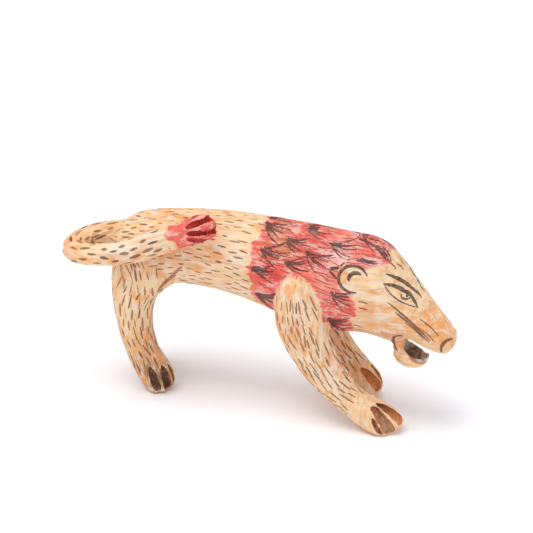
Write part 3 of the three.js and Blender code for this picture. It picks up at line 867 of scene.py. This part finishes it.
def painted_wood():
    g = Graph("painted_wood")
    place = g.attribute("place").outputs["Vector"]
    wash_and_painted_light = g.attribute("wash_and_painted_light").outputs["Vector"]
    red = g.attribute("red").outputs["Vector"]
    fields = g.split(g.attribute("fields").outputs["Vector"])
    long_grain = g.noise(g.scaled(place, (0.035, 0.5, 0.5)), 1.0, 3.0, 0.6)
    fine_grain = g.noise(g.scaled(place, (0.08, 1.4, 1.4)), 1.0, 3.0, 0.65)
    blotch = g.noise(g.scaled(place, (0.07, 0.12, 0.12)), 1.0, 3.0, 0.55)
    wear = g.noise(g.scaled(place, (0.14, 0.34, 0.34)), 1.0, 4.0, 0.65)
    speck = g.noise(g.scaled(place, (1.3, 1.6, 1.6)), 1.0, 2.0, 0.6)

    # Thin washes of orange over the washed tan, which also carries painted shade and painted highlight, with
    # the pale ground showing through where the brush ran dry.
    tan = g.mix(g.math("MULTIPLY", g.ramp(blotch, 0.48, 0.64), 0.75), wash_and_painted_light, paint("orange"))
    tan = g.mix(g.math("MULTIPLY", g.ramp(wear, 0.48, 0.62), 0.75), tan, paint("bare"))
    tan = g.mix(g.math("MULTIPLY", g.ramp(long_grain, 0.50, 0.64), 0.45), tan, paint("grain"))
    tan = g.mix(g.math("MULTIPLY", g.ramp(fine_grain, 0.54, 0.70), 0.25), tan, paint("fine grain"))

    # Coral red, streaked along the brush.
    coral = g.mix(g.ramp(long_grain, 0.42, 0.64), red, g.mix(0.25, red, paint("crimson")))
    coral = g.mix(g.math("MULTIPLY", g.ramp(wear, 0.46, 0.64), 0.70), coral, paint("blush"))
    coral = g.mix(g.math("MULTIPLY", g.ramp(fine_grain, 0.54, 0.70), 0.35), coral, paint("crimson"))
    ragged = g.math("ADD", fields[0], g.math("MULTIPLY", g.math("SUBTRACT", long_grain, 0.5), 3.5))
    ragged = g.math("ADD", ragged, g.math("MULTIPLY", g.math("SUBTRACT", speck, 0.5), 1.6))
    colour = g.mix(g.ramp(ragged, -0.5, 0.7), tan, coral)

    # Dark paint in the gouge cuts and the mouth, with bare ridges beside it.
    groove = g.attribute("groove").outputs["Vector"]
    sunk = g.math("ADD", fields[1], g.math("MULTIPLY", g.math("SUBTRACT", speck, 0.5), 0.9))
    ridge = g.mix(g.ramp(ragged, -0.5, 0.7), paint("cream"), paint("pink"))
    dry = g.math("MULTIPLY", g.ramp(sunk, -1.1, -0.2), g.ramp(wear, 0.40, 0.60))
    colour = g.mix(g.math("MULTIPLY", dry, 0.7), colour, ridge)
    inside = g.mix(g.ramp(fine_grain, 0.46, 0.66), groove, g.mix(0.35, groove, paint("dark")))
    inside = g.mix(g.ramp(wear, 0.54, 0.66), inside, g.mix(0.35, inside, paint("bare")))
    beside = g.mix(g.ramp(ragged, -0.5, 0.7), paint("rust"), paint("crimson"))
    inside = g.mix(g.ramp(sunk, 0.25, 0.60), beside, inside)
    colour = g.mix(g.ramp(sunk, -0.05, 0.20), colour, inside)

    # Brush strokes.
    stroke = g.split(g.attribute("stroke").outputs["Vector"])
    shape = g.split(g.attribute("shape").outputs["Vector"])
    along, across, length = stroke
    beyond = g.math("MAXIMUM", g.math("MULTIPLY", along, -1.0), g.math("SUBTRACT", along, length))
    beyond = g.math("MAXIMUM", beyond, 0.0)
    gap = g.math("ADD", g.math("MULTIPLY", beyond, beyond), g.math("MULTIPLY", across, across))
    gap = g.math("SQRT", gap)
    share = g.math("DIVIDE", along, g.math("MAXIMUM", length, 0.001), clamp=True)
    width = g.math("ADD", shape[0], g.math("MULTIPLY", share, g.math("SUBTRACT", shape[1], shape[0])))
    edge = g.math("ADD", g.math("SUBTRACT", width, gap), 0.12)
    edge = g.math("ADD", edge, g.math("MULTIPLY", g.math("SUBTRACT", speck, 0.5), 0.45))
    cover = g.ramp(edge, -0.10, 0.16)
    dry = g.ramp(fine_grain, 0.30, 0.62)
    cover = g.math("MULTIPLY", cover, g.math("SUBTRACT", 1.0, g.math("MULTIPLY", dry, 0.22)))
    tone = shape[2]
    ink = g.mix(g.ramp(tone, INK, BROWN), paint("ink"), paint("brown ink"))
    ink = g.mix(g.ramp(tone, BROWN, FUR), ink, paint("fur ink"))
    ink = g.mix(g.ramp(tone, FUR, RUST_TONE), ink, paint("rust ink"))
    ink = g.mix(g.ramp(tone, RUST_TONE, CRIMSON_TONE), ink, paint("crimson ink"))
    colour = g.mix(cover, colour, ink)
    g.put(g.shader.inputs["Base Color"], colour)

    rough = g.math("SUBTRACT", 0.66, g.math("MULTIPLY", cover, 0.10))
    rough = g.math("ADD", rough, g.math("MULTIPLY", g.math("SUBTRACT", speck, 0.5), 0.25))
    g.put(g.shader.inputs["Roughness"], rough)
    g.put(g.shader.inputs["Specular IOR Level"], 0.35)
    bump = g.nodes.new("ShaderNodeBump")
    bump.inputs["Strength"].default_value = 0.35
    bump.inputs["Distance"].default_value = 0.12 * MM
    relief = g.math("ADD", g.math("MULTIPLY", fine_grain, 0.7), g.math("MULTIPLY", long_grain, 0.9))
    relief = g.math("ADD", relief, g.math("MULTIPLY", cover, 0.15))
    g.put(bump.inputs["Height"], relief)
    g.put(g.shader.inputs["Normal"], bump.outputs["Normal"])
    return g.material


def blended(places, base, patches):
    """A base paint with soft-edged patches of other paints over it."""
    colour = np.tile(np.array(paint(base)), (len(places), 1))
    wobble = places + 1.6 * np.sin(places[:, ::-1] * 0.9) + 0.9 * np.sin(places[:, ::-1] * 2.3 + 1)
    for x, z, wide, high, shade, strength in patches:
        reach = ((wobble - (x, z)) / (wide, high)) ** 2
        share = (strength * np.exp(-reach.sum(axis=1)))[:, None]
        colour = colour * (1 - share) + np.array(paint(shade)) * share
    return colour


# Tan with each piece's patches of paint, painted shade and painted highlight.
def wash_and_painted_light_colours(seen, owner):
    wash_and_painted_light = blended(seen, "tan", [])
    for part, patches in WASHES_AND_PAINTED_LIGHT.items():
        mine = np.char.startswith(owner, part)
        wash_and_painted_light[mine] = blended(seen[mine], "tan", patches)
    return wash_and_painted_light


def red_depths(seen, skin, owner):
    """How deep each point lies in red paint, on the mane or the tail's tuft."""
    depth = mane_depth(seen)
    below_shoulder = np.char.startswith(owner, "leg_front") & (seen[:, 1] < SHOULDER_CENTRE[1])
    depth[below_shoulder | (owner == JAW)] = -9
    tuft = owner == TAIL
    below = np.clip((TUFT_DRIP_LEVEL - seen[tuft, 1]) / TUFT_DRIP_REACH, 0, 1)
    drips = below * (3.5 * np.sin(seen[tuft, 0] * 1.1) - 2.5)
    ragged = 1.2 * np.sin(seen[tuft, 1] * 0.8) + drips
    depth[tuft] = np.minimum(tail_along(skin.points[tuft]) - TUFT_START, 9 * MM) / MM + ragged
    return depth


def groove_paint(skin, owner, seen, cut, which, share):
    """How deep each point is in a painted hollow, and that hollow's paint."""
    ends = np.array([[paint(first), paint(last)] for _, _, _, _, first, last in gouge_lines()])
    toward_end = np.clip(share * GOUGE_RUNOUT, 0, 1)[:, None]
    groove = ends[which, 0] * (1 - toward_end) + ends[which, 1] * toward_end
    sunk = cut / MM
    hollow = 1 - np.linalg.norm(((skin.points - guide_origin()) / MM - SCOOP_CENTRE) / SCOOP_SIZE, axis=1)
    mouth = (owner == JAW) & (hollow > -0.35)
    sunk[mouth] = hollow[mouth] * 7 + 1.5
    groove[mouth] = blended(seen[mouth], "hollow", MOUTH_PATCHES)
    return sunk, groove


skin, owner = carved_skin()
place = grain_places(skin.points, owner)
height = knife_cuts(skin, place, owner, KNIFE_WIDTH, GRAIN_STRETCH)
cut, which, share = gouge_cuts(skin.points, owner)
deeper = np.clip(cut / GOUGE_FULL_DEPTH, 0, 1) * np.where(owner == TAIL, TUFT_EXTRA, GOUGE_EXTRA)
skin.points -= skin.normals() * (deeper - height * KNIFE_DEPTH)[:, None]
skin.smooth(np.full(len(skin.points), 0.4), 1)
skin.points[:, 2] = np.maximum(skin.points[:, 2], 0)
stroke, shape = paint_strokes(skin, owner)
seen = side_view(skin.points)
sunk, groove = groove_paint(skin, owner, seen, cut, which, share)
values = {
    "normal": skin.normals(),
    "place": place / MM,
    # Tan with its paint patches, painted shade and painted highlight.
    "wash_and_painted_light": wash_and_painted_light_colours(seen, owner),
    "red": blended(seen, "coral", MANE_PATCHES),
    "groove": groove,
    "fields": np.stack([red_depths(seen, skin, owner), sunk, np.zeros(len(sunk))], axis=1),
}
wood = painted_wood()
face_owner = parted_faces(skin, owner)
strokes = {"stroke": stroke, "shape": shape}
for name in CARVED:
    piece = add_piece(name, skin, np.flatnonzero(face_owner == name), values, strokes)
    piece.data.materials.append(wood)


# ---- floor, light and camera ----
CAMERA_AZIMUTH, CAMERA_ELEVATION = math.radians(20), math.radians(24)
CAMERA_DISTANCE = 0.896
CAMERA_TARGET = Vector((-5.6, 29.1, 64.8)) * MM
CAMERA_LENS, CAMERA_SENSOR = 110, 36
FLOOR_HALF_SIDE = 14.0
FLOOR_COLOUR = (0.93, 0.93, 0.975)
SKY_STRENGTH = 0.74
# Each lamp's name, the way that it shines, its angle in degrees and its power.
LAMPS = [("key", (0.22, 0.20, -1.0), 38, 1.55), ("fill", (0.35, 0.9, -0.4), 60, 0.25)]


def studio():
    side = FLOOR_HALF_SIDE
    floor_mesh = bpy.data.meshes.new("floor")
    corners = [(-side, -side, 0), (side, -side, 0), (side, side, 0), (-side, side, 0)]
    floor_mesh.from_pydata(corners, [], [(0, 1, 2, 3)])
    floor = bpy.data.objects.new("floor", floor_mesh)
    bpy.context.scene.collection.objects.link(floor)
    paper = Graph("paper")
    paper.put(paper.shader.inputs["Base Color"], FLOOR_COLOUR)
    paper.put(paper.shader.inputs["Roughness"], 0.95)
    floor_mesh.materials.append(paper.material)
    scene = bpy.context.scene
    world = bpy.data.worlds.new("world")
    scene.world = world
    world.use_nodes = True
    world.node_tree.nodes["Background"].inputs["Color"].default_value = (1, 1, 1, 1)
    world.node_tree.nodes["Background"].inputs["Strength"].default_value = SKY_STRENGTH
    for name, toward, angle, power in LAMPS:
        lamp = bpy.data.lights.new(name, "SUN")
        lamp.angle, lamp.energy = math.radians(angle), power
        holder = bpy.data.objects.new(name, lamp)
        holder.rotation_euler = Vector(toward).to_track_quat("-Z", "Y").to_euler()
        scene.collection.objects.link(holder)
    scene.view_settings.view_transform = "Standard"
    camera = bpy.data.objects.new("camera", bpy.data.cameras.new("camera"))
    scene.collection.objects.link(camera)
    camera.data.lens = CAMERA_LENS
    camera.data.sensor_width = CAMERA_SENSOR
    back = Vector((
        math.sin(CAMERA_AZIMUTH) * math.cos(CAMERA_ELEVATION),
        -math.cos(CAMERA_AZIMUTH) * math.cos(CAMERA_ELEVATION),
        math.sin(CAMERA_ELEVATION),
    ))
    camera.location = CAMERA_TARGET + back * CAMERA_DISTANCE
    camera.rotation_euler = back.to_track_quat("Z", "Y").to_euler()
    scene.camera = camera


def bare_wood():
    g = Graph("peg_wood")
    place = g.nodes.new("ShaderNodeTexCoord").outputs["Object"]
    grain = g.noise(g.scaled(place, (300, 900, 900)), 1.0, 3.0)
    g.put(g.shader.inputs["Base Color"], g.mix(grain, paint("peg"), paint("peg grain")))
    g.put(g.shader.inputs["Roughness"], 0.7)
    return g.material


studio()
peg_wood = bare_wood()
for name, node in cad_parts.items():
    if name.startswith("peg_"):
        node.data.materials.clear()
        node.data.materials.append(peg_wood)
